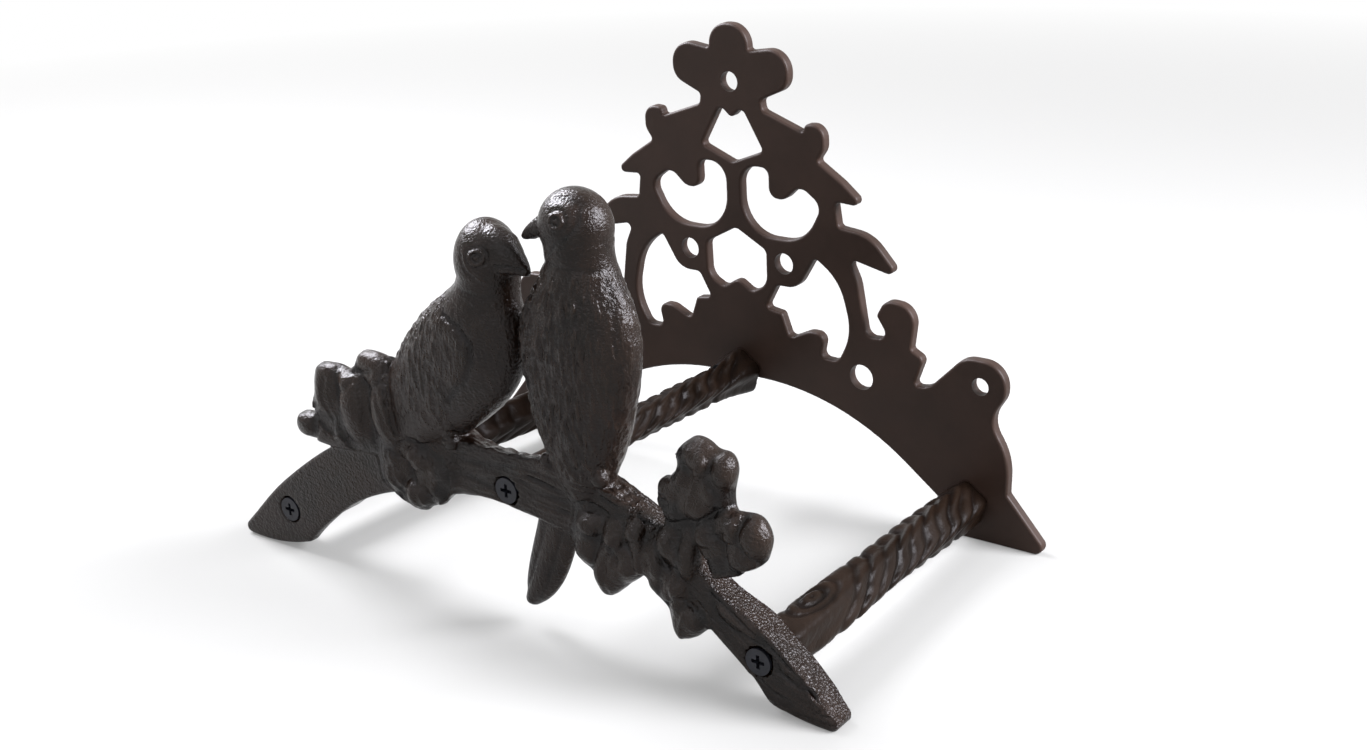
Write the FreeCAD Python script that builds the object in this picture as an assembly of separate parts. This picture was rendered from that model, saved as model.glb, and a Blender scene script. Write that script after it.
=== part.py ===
import FreeCAD, Part
import math
import os

Vec = FreeCAD.Vector

# Wall-mounted hanger for a garden hose, in cast iron. Millimetres.
# X runs to the right, Y runs towards the wall, Z is up. The wall face of the back plate is the
# plane y = 0, and the origin is the centre of the top screw hole in that face.
# Heights are written from the line through the lower tips of the front branch.

# back plate
top_hole_height = 159.5
plate_thickness = 4.0
plate_edge_round = 1.1
top_hole_diameter = 8.0
ear_hole_diameter = 7.0
ear_hole_spacing = 218.0
ear_hole_height = 54.4
foot_drop = 9.2
round_window_diameter = 8.6
round_window_spacing = 45.6
round_window_height = 89.3
low_window_diameter = 10.4
low_window_spacing = 115.0
low_window_height = 48.3

# arms that join the plate to the front branch
arm_length = 138.5
side_arm_diameter = 17.4
middle_arm_diameter = 13.8
arm_ridge = 0.7
arm_wave = 0.2
side_arm_foot_flare = 0.5
middle_arm_foot_flare = 2.9
arm_foot_length = 16.0
side_arm_rear_spread = 207.6
side_arm_rear_height = 5.8
side_arm_front_spread = 219.6
side_arm_front_height = 12.8
middle_arm_rear_x = 0.4
middle_arm_rear_height = 40.4
middle_rear_screw_rise = 4.8
middle_rear_screw_wall = 1.1
middle_arm_front_x = 6.4
middle_arm_front_height = 48.4

# front branch casting
branch_depth = 11.5
branch_edge_round = 1.4
bird_set_back = 5.0
leaf_proud = 1.6
leaf_thickness = 7.6
leaf_rim_round = 2.7
eye_ring_radius = 2.1
eye_ring_thickness = 1.1
eye_bead_radius = 1.3

# countersunk screws
screw_diameter = 6.0
screw_head_diameter = 11.0
screw_head_land = 0.5
front_screw_length = 28.0
rear_screw_length = 20.0
recess_width = 5.0
recess_bar = 1.3
recess_depth = 2.4
clearance_hole = 0.5
thread_clearance = 0.1
head_clearance = 0.1
hole_spare_depth = 4.0

middle_rear_screw_height = middle_arm_rear_height + middle_rear_screw_rise
middle_rear_seat_height = middle_rear_screw_height - screw_head_diameter / 2 - head_clearance
plate_arch_height = middle_rear_seat_height - middle_rear_screw_wall
# The plate's openwork stretches between the ear holes and the top hole, and its corner rounds shrink
# with it where it is squashed. The tables below draw it for this rise.
openwork_rise = 105.1
openwork_stretch = (top_hole_height - ear_hole_height) / openwork_rise
openwork_round = min(1.0, openwork_stretch)
plate_front = -plate_thickness
branch_back = plate_front - arm_length
branch_front = branch_back - branch_depth


def at(x, height, y=0.0):
    """A place in the part's frame from x, a height over the front tips, and y."""
    return Vec(x, y, height - top_hole_height)


def rounded_outline(corners, y):
    """A closed wire of straight runs whose corners (x, height, radius) are rounded by arcs."""
    count = len(corners)
    spots = [at(c[0], c[1], y) for c in corners]
    ends = []
    edges = []
    for i in range(count):
        here = spots[i]
        back = (spots[i - 1] - here).normalize()
        ahead = (spots[(i + 1) % count] - here).normalize()
        half = back.getAngle(ahead) / 2
        radius = corners[i][2]
        start = here + back * (radius / math.tan(half))
        stop = here + ahead * (radius / math.tan(half))
        middle_way = (back + ahead).normalize()
        top = here + middle_way * (radius / math.sin(half) - radius)
        ends.append((start, stop))
        edges.append(Part.Arc(start, top, stop).toShape())
    for i in range(count):
        run_start = ends[i][1]
        run_stop = ends[(i + 1) % count][0]
        if run_start.distanceToPoint(run_stop) > 0.001:
            edges.append(Part.LineSegment(run_start, run_stop).toShape())
    return Part.Wire(Part.__sortEdges__(edges))


def mirrored(half):
    """The right half's corners followed by their mirror images; corners on the axis stay single."""
    other = [(-x, height, radius) for x, height, radius in reversed(half) if x != 0]
    return half + other


def flipped(corners):
    return [(-x, height, radius) for x, height, radius in corners]


def risen(height):
    """A height of the openwork after its stretch; heights under the ear holes stay."""
    if height < ear_hole_height:
        return height
    return ear_hole_height + (height - ear_hole_height) * openwork_stretch


def stretched(corners):
    return [(x, risen(height), radius * openwork_round) for x, height, radius in corners]


def rounded_front(solid, y, radius):
    """Rounds every edge that lies in the front face at y."""
    front_edges = []
    for edge in solid.Edges:
        box = edge.BoundBox
        if abs(box.YMin - y) < 0.001 and abs(box.YMax - y) < 0.001:
            front_edges.append(edge)
    return solid.makeFillet(radius, front_edges)


def bore(x, height, y_from, y_to, diameter):
    return Part.makeCylinder(diameter / 2, y_to - y_from, at(x, height, y_from), Vec(0, 1, 0))


# The right half of the plate's outline, from the crown over the leaves and the ear to the foot.
crown = [
    (9.0, 181.9, 8.5), (9.2, 171.9, 1.3), (27.4, 174.7, 8.4), (27.0, 159.2, 7.0), (14.3, 153.6, 1.8),
    (14.9, 149.5, 2.2), (33.2, 142.9, 1.2),
]
shoulder_leaves = [
    (33.9, 146.1, 2.0), (42.5, 146.8, 5.2), (42.6, 137.2, 6.0), (39.2, 132.4, 1.5),
    (50.0, 125.4, 20.0), (60.5, 116.6, 2.0), (46.8, 117.4, 1.5), (48.2, 107.6, 1.8),
    (61.9, 106.2, 16.0), (75.7, 90.7, 2.2), (52.2, 95.9, 1.9), (56.4, 86.8, 14.0),
]
scroll = [
    (59.8, 65.3, 3.6), (69.9, 66.0, 2.7), (64.3, 74.8, 1.8), (68.0, 81.6, 6.0),
    (82.0, 81.0, 7.4), (79.4, 63.6, 1.5), (84.9, 60.6, 2.6), (80.6, 49.2, 1.5),
]
ear_x = ear_hole_spacing / 2
ear_and_foot = [
    (86.8, 49.3, 9.0), (ear_x - 7.1, ear_hole_height + 10.2, 10.2),
    (ear_x + 10.4, ear_hole_height + 10.2, 9.2), (ear_x + 10.4, ear_hole_height - 2.6, 8.6),
    (ear_x + 3.6, 41.4, 10.6), (121.2, 27.5, 25.0), (120.6, 12.4, 1.8), (139.0, -foot_drop, 3.2),
    (97.0, -foot_drop, 2.0), (90.8, 5.2, 3.0), (47.8, plate_arch_height, 108.0),
]
plate_outline = stretched(crown + shoulder_leaves + scroll) + ear_and_foot

# Openwork of the plate: bell and flower on the axis, two pairs beside it.
bell_window = [(0.0, 145.2, 1.8), (5.2, 149.7, 2.2), (14.5, 133.4, 1.6), (0.0, 127.6, 3.0)]
flower_window = [
    (0.0, 101.0, 3.6), (14.2, 93.3, 3.0), (14.0, 79.0, 6.4), (6.9, 75.2, 3.4), (0.0, 79.6, 3.8),
]
heart_window = [
    (3.7, 127.2, 7.6), (16.5, 126.8, 3.2), (16.4, 115.1, 4.3), (23.7, 115.1, 6.0),
    (31.0, 121.8, 5.0), (40.6, 114.8, 5.0), (32.4, 99.1, 16.0), (3.7, 99.1, 14.6),
]
leaf_window = [
    (37.0, 93.6, 1.7), (47.8, 86.4, 22.0), (53.1, 65.2, 22.0), (46.6, 52.6, 4.4),
    (38.8, 53.0, 2.4), (41.0, 62.9, 3.5), (33.6, 63.0, 7.0), (24.4, 58.6, 2.2),
    (20.9, 68.4, 1.9), (13.4, 69.6, 1.5), (18.9, 79.7, 2.8), (28.6, 79.7, 8.6),
]


def arm_places():
    """Each arm's name, rear centre, front centre, diameter and the flare of its rear foot."""
    rear = side_arm_rear_spread / 2
    front = side_arm_front_spread / 2
    side = (side_arm_diameter, side_arm_foot_flare)
    return {
        "left_arm": ((-rear, side_arm_rear_height), (-front, side_arm_front_height)) + side,
        "middle_arm": (
            (middle_arm_rear_x, middle_arm_rear_height),
            (middle_arm_front_x, middle_arm_front_height),
            middle_arm_diameter,
            middle_arm_foot_flare,
        ),
        "right_arm": ((rear, side_arm_rear_height), (front, side_arm_front_height)) + side,
    }


def front_screw_places():
    return [front for rear, front, diameter, flare in arm_places().values()]


def rear_screw_places():
    """The side arms are held at their centres, the middle one above its centre, clear of the arch."""
    places = {name: rear for name, (rear, front, diameter, flare) in arm_places().items()}
    places["middle_arm"] = (middle_arm_rear_x, middle_rear_screw_height)
    return list(places.values())


def screw_seat(x, height, face, inwards):
    """The cut for a countersunk head in the face at y, with inwards +1 or -1 along Y."""
    direction = Vec(0, inwards, 0)
    head_radius = screw_head_diameter / 2 + head_clearance
    hole_radius = (screw_diameter + clearance_hole) / 2
    cone_depth = head_radius - hole_radius
    land = Part.makeCylinder(head_radius, screw_head_land + 1, at(x, height, face - inwards), direction)
    cone = Part.makeCone(
        head_radius, hole_radius, cone_depth, at(x, height, face + inwards * screw_head_land), direction
    )
    hole = Part.makeCylinder(hole_radius, branch_depth + 2, at(x, height, face), direction)
    return land.fuse([cone, hole])


def back_plate():
    outline = rounded_outline(mirrored(plate_outline), 0.0)
    windows = [
        rounded_outline(mirrored(stretched(bell_window)), 0.0),
        rounded_outline(mirrored(stretched(flower_window)), 0.0),
    ]
    for window in (stretched(heart_window), stretched(leaf_window)):
        windows.append(rounded_outline(window, 0.0))
        windows.append(rounded_outline(flipped(window), 0.0))
    solid = Part.Face(outline).extrude(Vec(0, -plate_thickness, 0))
    for window in windows:
        solid = solid.cut(Part.Face(window).extrude(Vec(0, -plate_thickness, 0)))
    solid = rounded_front(solid, plate_front, plate_edge_round)
    holes = [bore(0.0, top_hole_height, plate_front - 1, 1, top_hole_diameter)]
    for side in (-1, 1):
        holes.append(bore(side * ear_x, ear_hole_height, plate_front - 1, 1, ear_hole_diameter))
        holes.append(
            bore(
                side * round_window_spacing / 2,
                risen(round_window_height),
                plate_front - 1,
                1,
                round_window_diameter,
            )
        )
        holes.append(
            bore(side * low_window_spacing / 2, low_window_height, plate_front - 1, 1, low_window_diameter)
        )
    for x, height in rear_screw_places():
        holes.append(screw_seat(x, height, 0.0, -1))
    return solid.cut(holes)


def ridged_section(x, height, y, radius, ridge, turn, lobes=5, points=20):
    """A closed round section in the plane y, with low ridges along its rim."""
    rim = []
    for i in range(points):
        angle = 2 * math.pi * i / points
        swell = 1 + ridge / radius * math.sin(lobes * angle + turn)
        rim.append(at(x + radius * swell * math.cos(angle), height + radius * swell * math.sin(angle), y))
    curve = Part.BSplineCurve()
    curve.interpolate(rim, PeriodicFlag=True)
    return Part.Wire([curve.toShape()])


def arm(rear, front, diameter, foot_flare, rear_screw):
    """A cast bark bar: ridged sections from the plate to the branch, tapped at both ends."""
    stations = 9
    sections = []
    for i in range(stations + 1):
        part = (i / stations) ** 1.25
        x = rear[0] + (front[0] - rear[0]) * part
        height = rear[1] + (front[1] - rear[1]) * part
        flare = foot_flare * max(0.0, 1 - part * arm_length / arm_foot_length)
        wave = arm_wave * math.sin(part * 9.0)
        radius = diameter / 2 - arm_ridge + flare + wave
        y = plate_front - arm_length * part
        sections.append(ridged_section(x, height, y, radius, arm_ridge, part * 5))
    bar = Part.makeLoft(sections, True, False)
    tapped = screw_diameter / 2 + thread_clearance
    rear_depth = rear_screw_length - plate_thickness + hole_spare_depth
    front_depth = front_screw_length - branch_depth + hole_spare_depth
    rear_hole = bore(rear_screw[0], rear_screw[1], plate_front - rear_depth, plate_front, 2 * tapped)
    front_hole = bore(front[0], front[1], branch_back, branch_back + front_depth, 2 * tapped)
    return bar.cut([rear_hole, front_hole])


def screw(x, height, face, inwards, length):
    """A countersunk screw whose head lies flush with the face at y."""
    direction = Vec(0, inwards, 0)
    head_radius = screw_head_diameter / 2
    shank_radius = screw_diameter / 2
    cone_depth = head_radius - shank_radius
    land = Part.makeCylinder(head_radius, screw_head_land, at(x, height, face), direction)
    cone = Part.makeCone(
        head_radius, shank_radius, cone_depth, at(x, height, face + inwards * screw_head_land), direction
    )
    shank = Part.makeCylinder(shank_radius, length, at(x, height, face), direction)
    body = land.fuse([cone, shank])
    low = min(face, face + inwards * recess_depth)
    across = Part.makeBox(
        recess_width, recess_depth, recess_bar, at(x - recess_width / 2, height - recess_bar / 2, low)
    )
    upright = Part.makeBox(
        recess_bar, recess_depth, recess_width, at(x - recess_bar / 2, height - recess_width / 2, low)
    )
    return body.cut([across, upright]).removeSplitter()


# The branch's upper edge from the left tip to the right tip, and its arched lower edge back again,
# both as (x, height) in the front face.
branch_top = [
    (-141.6, -3.2), (-129.4, 8.4), (-117.8, 19.5), (-104.0, 30.5), (-89.1, 40.9), (-72.0, 50.6),
    (-50.0, 59.2), (-25.0, 63.4), (4.0, 62.6), (28.0, 63.4), (48.8, 59.6), (66.5, 51.6),
    (82.0, 42.5), (96.5, 31.4), (103.0, 28.6), (109.4, 25.7), (117.7, 19.2), (125.6, 12.4),
    (131.6, 6.0), (145.4, -4.0),
]
branch_arch = [
    (112.4, -1.2), (104.2, 9.2), (92.6, 18.6), (80.0, 26.6), (66.0, 31.6), (42.0, 37.2),
    (20.8, 40.2), (-0.4, 42.9), (-20.4, 40.4), (-47.5, 34.8), (-66.1, 27.6), (-76.6, 21.4),
    (-85.7, 14.5), (-93.3, 8.3), (-100.8, 0.8),
]
left_tip_sole = (-119.0, -3.6)
right_tip_sole = (125.0, -3.8)
tip_corner_round = 2.6
tip_taper_start = 131.5
tip_taper_end = 150.0
tip_depth = 6.2
# Behind its face the arch's left foot is cut away, along the line from foot to end.
foot_relief_start = (-106.0, -6.1)
foot_relief_end = (-82.0, 17.4)
foot_relief_depth = 8.6
foot_relief_width = 6.8


def smooth_edge(places, y):
    curve = Part.BSplineCurve()
    curve.interpolate([at(x, height, y) for x, height in places])
    return curve.toShape()


def foot_relief():
    """The slanting cut along the back edge of the arch's left foot."""
    foot = at(foot_relief_start[0], foot_relief_start[1], branch_back)
    run = at(foot_relief_end[0], foot_relief_end[1], branch_back) - foot
    outwards = Vec(run.z, 0, -run.x).normalize() * foot_relief_width
    corners = [
        foot - outwards,
        foot - outwards + Vec(0, 1, 0),
        foot + outwards + Vec(0, 1, 0),
        foot + outwards - Vec(0, foot_relief_depth, 0),
        foot - Vec(0, foot_relief_depth, 0),
    ]
    return Part.Face(Part.makePolygon(corners + corners[:1])).extrude(run)


def branch_bar():
    """The arched branch: the front outline drawn back, with its face edge rounded and tips thinned."""
    last_top = at(branch_top[-1][0], branch_top[-1][1], branch_back)
    first_arch = at(branch_arch[0][0], branch_arch[0][1], branch_back)
    last_arch = at(branch_arch[-1][0], branch_arch[-1][1], branch_back)
    left_sole = at(left_tip_sole[0], left_tip_sole[1], branch_back)
    right_sole = at(right_tip_sole[0], right_tip_sole[1], branch_back)
    first_top = at(branch_top[0][0], branch_top[0][1], branch_back)
    outline = Part.Wire(
        [
            smooth_edge(branch_top, branch_back),
            Part.Arc(last_top, right_sole, first_arch).toShape(),
            smooth_edge(branch_arch, branch_back),
            Part.Arc(last_arch, left_sole, first_top).toShape(),
        ]
    )
    bar = Part.Face(outline).extrude(Vec(0, -branch_depth, 0))
    corners = [edge for edge in bar.Edges if abs(edge.BoundBox.YLength - branch_depth) < 0.001]
    bar = bar.makeFillet(tip_corner_round, corners)
    bar = rounded_front(bar, branch_front, branch_edge_round)
    for side in (-1, 1):
        start = Vec(side * tip_taper_start, branch_back, -top_hole_height - foot_drop)
        end = Vec(side * tip_taper_end, branch_front + tip_depth, start.z)
        behind = Vec(side * tip_taper_end, branch_back + 1, start.z)
        beside = Vec(side * tip_taper_start, branch_back + 1, start.z)
        wedge = Part.Face(Part.makePolygon([start, end, behind, beside, start])).extrude(Vec(0, 0, 60))
        bar = bar.cut(wedge)
    return bar.cut(foot_relief())


def egg(x, height, set_back, half_width, half_depth, half_length, lean=0.0):
    """An egg shape set back from the branch's face, its top leaning to +X by lean degrees."""
    stretch = FreeCAD.Matrix()
    stretch.scale(half_width, half_depth, half_length)
    shape = Part.makeSphere(1.0).transformGeometry(stretch)
    shape.rotate(Vec(0, 0, 0), Vec(0, 1, 0), lean)
    shape.translate(at(x, height, branch_front + set_back))
    return shape


def bird_body(rows):
    """A bird's body lofted upwards through level ellipses (x, height, half width, half depth)."""
    wires = []
    for x, height, half_width, half_depth in rows:
        centre = at(x, height, branch_front + bird_set_back)
        ellipse = Part.Ellipse(centre + Vec(half_width, 0, 0), centre + Vec(0, half_depth, 0), centre)
        wires.append(Part.Wire([ellipse.toShape()]))
    return Part.makeLoft(wires, True, False)


def eyes(head, x, height):
    """A raised ring with a bead in it on each side of an egg-shaped head."""
    head_x, head_height, set_back, half_width, half_depth, half_length = head
    right = (x - head_x) / half_width
    up = (height - head_height) / half_length
    out = math.sqrt(1 - right * right - up * up)
    pieces = []
    for side in (-1, 1):
        spot = at(x, height, branch_front + set_back + side * out * half_depth)
        normal = Vec(right / half_width, side * out / half_depth, up / half_length).normalize()
        pieces.append(Part.makeTorus(eye_ring_radius, eye_ring_thickness / 2, spot, normal))
        pieces.append(Part.makeSphere(eye_bead_radius, spot - normal * (eye_bead_radius / 2)))
    return pieces


def blade(stations, half_depth, set_back):
    """A flat tapering form through (x, height, half width), widest across its own direction."""
    sections = []
    for i in range(len(stations)):
        x, height, half_width = stations[i]
        before = stations[max(i - 1, 0)]
        after = stations[min(i + 1, len(stations) - 1)]
        way = Vec(after[0] - before[0], 0, after[1] - before[1]).normalize()
        across = Vec(-way.z, 0, way.x)
        centre = at(x, height, branch_front + set_back)
        thick = min(half_depth, half_width * 0.95)
        ellipse = Part.Ellipse(centre + across * half_width, centre + Vec(0, thick, 0), centre)
        sections.append(Part.Wire([ellipse.toShape()]))
    return Part.makeLoft(sections, True, False)


def right_bird():
    body = bird_body(
        [
            (39.4, 48.0, 8.0, 5.5), (40.0, 62.0, 11.2, 9.0), (40.0, 76.0, 17.3, 11.6),
            (40.2, 90.0, 21.3, 12.6), (41.0, 104.0, 23.4, 12.8), (41.8, 116.0, 22.2, 12.4),
            (43.2, 126.0, 17.2, 11.4), (43.6, 134.0, 12.9, 10.7), (43.4, 143.0, 12.3, 10.8),
        ]
    )
    head = (42.9, 147.2, bird_set_back, 13.0, 11.2, 12.7)
    bill = blade([(38.0, 146.0, 5.6), (29.0, 145.6, 3.6), (23.6, 143.2, 1.9), (21.2, 141.6, 0.8)], 3.0, 3.5)
    tail = blade([(28.0, 48.0, 9.2), (23.6, 34.0, 8.6), (16.2, 16.0, 7.2), (9.2, 4.4, 2.6)], 3.4, 5.5)
    return [body, egg(*head), bill, tail] + eyes(head, 43.1, 151.4)


def left_bird():
    body = bird_body(
        [
            (-42.1, 56.0, 15.0, 6.5), (-32.6, 66.0, 21.5, 9.5), (-22.7, 78.0, 26.6, 11.8),
            (-14.7, 90.0, 27.5, 12.8), (-8.4, 102.0, 24.3, 12.6), (-4.2, 110.0, 20.4, 11.8),
            (-0.6, 117.0, 14.6, 10.8), (2.6, 123.0, 11.6, 10.4), (3.0, 129.0, 11.4, 10.6),
        ]
    )
    head = (3.2, 129.9, bird_set_back, 11.4, 11.2, 14.6)
    bill = blade([(6.0, 134.0, 9.6), (14.0, 133.4, 7.6), (19.6, 131.2, 3.6), (22.4, 129.2, 1.2)], 6.0, 3.5)
    return [body, egg(*head), bill] + eyes(head, 6.9, 134.0)


# Each leaf is a cushion whose outline is given as (x, height, corner radius), with lobes that bulge
# from it, given as (x, height, set back, half width, half depth, half length, lean in degrees).
upper_left_leaf = [
    (-100.8, 47.0, 4.0), (-98.0, 57.8, 3.8), (-88.8, 56.0, 3.0), (-86.4, 79.0, 5.2), (-72.2, 80.0, 4.4),
    (-67.0, 77.4, 2.8), (-61.4, 88.4, 5.0), (-46.0, 87.8, 6.0), (-38.0, 60.0, 8.0), (-52.0, 47.6, 6.0),
    (-80.0, 45.8, 8.0),
]
upper_left_lobes = [
    (-93.6, 52.0, 3.0, 5.6, 4.4, 4.2, -70.0), (-80.4, 65.6, 1.0, 5.4, 4.6, 11.6, 3.0),
    (-64.0, 64.4, -0.4, 7.2, 5.0, 14.6, 1.0), (-56.0, 77.8, 4.4, 7.0, 4.8, 8.2, 9.0),
    (-47.4, 67.4, -0.8, 7.6, 5.4, 16.0, -4.0), (-73.4, 56.0, 0.6, 5.0, 4.2, 8.0, 0.0),
]
lower_left_leaf = [
    (-57.6, 52.0, 4.0), (-55.6, 37.4, 4.4), (-38.8, 29.4, 5.0), (-26.6, 34.4, 5.0), (-16.0, 44.0, 4.4),
    (-18.0, 55.4, 4.4), (-30.6, 60.0, 5.0), (-46.4, 58.6, 5.0),
]
lower_left_lobes = [
    (-47.4, 51.6, -0.2, 5.6, 4.2, 5.0, 20.0), (-33.4, 52.4, -0.2, 5.8, 4.2, 4.8, -10.0),
    (-23.2, 48.6, 0.0, 4.6, 4.0, 5.2, -30.0), (-46.4, 41.4, 0.2, 6.2, 4.2, 6.6, -30.0),
    (-35.2, 37.6, 0.0, 5.8, 4.2, 7.0, 0.0), (-26.0, 40.4, 0.4, 4.6, 4.0, 5.6, 30.0),
]
upper_right_leaf = [
    (76.4, 49.6, 3.4), (71.6, 64.2, 3.6), (73.8, 70.2, 3.0), (79.6, 69.0, 2.0), (82.4, 82.0, 5.0),
    (87.6, 86.6, 4.0), (93.4, 85.2, 3.6), (95.8, 82.6, 2.8), (101.6, 84.0, 3.6), (103.8, 77.6, 5.0),
    (101.4, 68.6, 4.0), (102.4, 56.0, 4.0), (88.0, 48.0, 4.0),
]
upper_right_lobes = [
    (87.2, 79.4, 0.0, 5.6, 4.6, 5.8, 30.0), (93.4, 77.6, -0.6, 3.8, 4.6, 5.2, -10.0),
    (98.6, 77.0, 0.6, 4.6, 4.6, 5.8, -20.0), (84.0, 71.6, 0.2, 4.6, 4.2, 5.2, 40.0),
    (96.6, 68.8, 0.4, 4.4, 4.2, 6.2, -24.0), (75.4, 64.6, 1.4, 3.4, 4.0, 4.8, 10.0),
    (81.0, 58.4, 0.6, 5.0, 4.0, 7.4, 12.0), (91.2, 60.2, 0.6, 6.0, 4.2, 7.0, -30.0),
]
right_leaf = [
    (87.0, 57.0, 3.4), (104.2, 63.6, 5.0), (112.2, 64.4, 5.0), (116.0, 56.8, 6.0), (113.2, 47.4, 6.0),
    (103.6, 41.6, 5.0), (91.8, 37.0, 3.4),
]
right_lobes = [
    (94.6, 54.4, 0.0, 3.6, 4.4, 7.2, 74.0), (103.2, 57.6, 0.2, 4.2, 4.4, 5.0, 10.0),
    (109.6, 55.8, 1.0, 5.0, 4.6, 7.0, 14.0), (104.8, 47.6, 0.8, 4.6, 4.2, 6.8, 70.0),
    (95.4, 45.6, 0.8, 4.8, 4.0, 5.8, 10.0),
]
lower_middle_leaf = [
    (36.6, 51.0, 4.0), (54.0, 50.0, 6.0), (67.4, 55.4, 4.0), (70.4, 44.6, 5.0), (65.6, 32.2, 3.4),
    (50.0, 18.6, 3.2), (45.4, 19.2, 3.0), (42.4, 27.2, 3.0), (35.6, 31.2, 3.6), (34.0, 42.0, 5.0),
]
lower_middle_lobes = [
    (43.2, 44.0, 0.2, 5.4, 4.4, 5.0, 0.0), (54.6, 41.0, -0.2, 5.0, 4.4, 5.2, 0.0),
    (64.0, 46.4, 0.0, 4.8, 4.4, 5.8, 0.0), (40.4, 35.2, 1.0, 4.2, 4.0, 5.6, -20.0),
    (48.4, 27.8, 0.8, 4.2, 4.0, 7.6, -8.0), (57.4, 31.6, 0.8, 4.0, 4.0, 7.4, 42.0),
    (64.6, 37.0, 0.8, 3.8, 4.0, 5.4, 10.0),
]
lower_right_leaf = [
    (70.6, 51.0, 4.0), (78.0, 54.2, 4.0), (87.6, 50.6, 4.4), (86.6, 38.0, 6.0), (79.6, 24.4, 3.4),
    (74.6, 21.4, 3.4), (66.0, 28.6, 3.4), (67.6, 40.0, 6.0),
]
lower_right_lobes = [
    (76.4, 46.8, 0.2, 4.4, 4.4, 5.6, 0.0), (82.4, 42.4, 0.2, 4.2, 4.4, 8.0, -4.0),
    (72.6, 37.0, 0.6, 4.0, 4.2, 6.4, -8.0), (78.6, 32.6, 0.6, 4.0, 4.0, 7.6, -14.0),
    (72.4, 28.4, 1.0, 3.6, 3.8, 5.0, -30.0),
]
lowest_leaf = [
    (72.6, 25.6, 3.4), (80.6, 30.6, 4.0), (91.0, 27.6, 4.0), (94.0, 20.8, 3.4), (79.6, 10.4, 3.2),
    (76.0, 12.6, 3.0),
]
lowest_lobes = [
    (79.4, 24.4, 0.8, 4.2, 4.0, 4.2, 0.0), (85.6, 21.4, 0.8, 4.2, 4.0, 5.0, 20.0),
    (79.6, 16.2, 1.0, 3.4, 3.8, 5.2, 0.0),
]
claws = [
    (26.0, 63.6, 1.4, 3.2, 3.0, 3.4, 0.0), (41.9, 64.0, -1.0, 3.4, 3.0, 3.2, 0.0),
    (50.3, 63.6, -1.0, 3.3, 3.0, 3.4, 0.0), (-30.0, 61.5, -0.6, 3.2, 3.0, 3.0, 0.0),
    (-17.0, 62.4, -0.6, 3.4, 3.0, 3.2, 0.0),
]
leaves = [
    (upper_left_leaf, upper_left_lobes), (lower_left_leaf, lower_left_lobes),
    (upper_right_leaf, upper_right_lobes), (right_leaf, right_lobes),
    (lower_middle_leaf, lower_middle_lobes), (lower_right_leaf, lower_right_lobes),
    (lowest_leaf, lowest_lobes),
]


def leaf_cushion(corners):
    """A leaf's outline through its thickness, with both rims rounded."""
    front = branch_front - leaf_proud
    back = front + leaf_thickness
    cushion = Part.Face(rounded_outline(corners, front)).extrude(Vec(0, leaf_thickness, 0))
    rims = []
    for edge in cushion.Edges:
        box = edge.BoundBox
        if box.YLength < 0.001 and min(abs(box.YMin - front), abs(box.YMin - back)) < 0.001:
            rims.append(edge)
    return cushion.makeFillet(leaf_rim_round, rims)


def front_branch():
    growth = right_bird() + left_bird()
    for outline, lobes in leaves:
        growth.append(leaf_cushion(outline))
        growth = growth + [egg(*lobe) for lobe in lobes]
    growth = growth + [egg(*claw) for claw in claws]
    casting = branch_bar().fuse(growth)
    seats = []
    for x, height in front_screw_places():
        seats.append(screw_seat(x, height, branch_front, 1))
    return casting.cut(seats)


def front_screws():
    return Part.makeCompound(
        [screw(x, height, branch_front, 1, front_screw_length) for x, height in front_screw_places()]
    )


def rear_screws():
    return Part.makeCompound(
        [screw(x, height, 0.0, -1, rear_screw_length) for x, height in rear_screw_places()]
    )


def build():
    nodes = {
        "back_plate": back_plate(),
        "front_branch": front_branch(),
        "front_screws": front_screws(),
        "rear_screws": rear_screws(),
    }
    rear_screw_spots = rear_screw_places()
    for i, (name, (rear, front, diameter, foot_flare)) in enumerate(arm_places().items()):
        nodes[name] = arm(rear, front, diameter, foot_flare, rear_screw_spots[i])
    return nodes


os.makedirs("parts", exist_ok=True)
for name, shape in build().items():
    print(name, "solids", len(shape.Solids), "valid", shape.isValid(), "volume", round(shape.Volume))
    shape.exportStep("parts/" + name + ".step")
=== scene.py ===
import bpy
import bmesh
import math
import numpy as np
from mathutils import Matrix, Vector, noise


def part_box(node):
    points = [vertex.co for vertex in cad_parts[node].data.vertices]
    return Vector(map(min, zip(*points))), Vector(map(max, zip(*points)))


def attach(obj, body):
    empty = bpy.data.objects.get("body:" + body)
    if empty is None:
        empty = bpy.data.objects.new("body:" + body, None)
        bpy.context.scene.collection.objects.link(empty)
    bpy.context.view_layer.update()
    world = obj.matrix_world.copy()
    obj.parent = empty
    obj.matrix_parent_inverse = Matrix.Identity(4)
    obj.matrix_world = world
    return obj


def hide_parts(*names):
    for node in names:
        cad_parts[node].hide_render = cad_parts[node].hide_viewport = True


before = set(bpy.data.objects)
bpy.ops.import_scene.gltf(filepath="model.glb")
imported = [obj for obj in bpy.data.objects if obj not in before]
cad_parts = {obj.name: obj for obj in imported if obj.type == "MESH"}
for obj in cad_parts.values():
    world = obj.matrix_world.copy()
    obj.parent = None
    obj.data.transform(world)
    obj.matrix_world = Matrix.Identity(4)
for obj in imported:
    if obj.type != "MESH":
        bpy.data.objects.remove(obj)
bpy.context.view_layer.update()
scene = bpy.context.scene
scene.view_settings.view_transform = "Standard"
mm = 0.001
topHoleHeight = 159.5  # heights below are over the front tips, in mm
branchFront = -154.0   # y of the branch's face, in mm
branchBack = -142.5

# the camera stands where the photograph was taken from
cameraView = {
    "place": (404.007, -565.157, 151.076),
    "turn": 0.657945805,
    "tilt": 0.373757387,
    "roll": -0.0544287643,
    "lens": 47.846,
    "sensor": 36.0,
}


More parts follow.
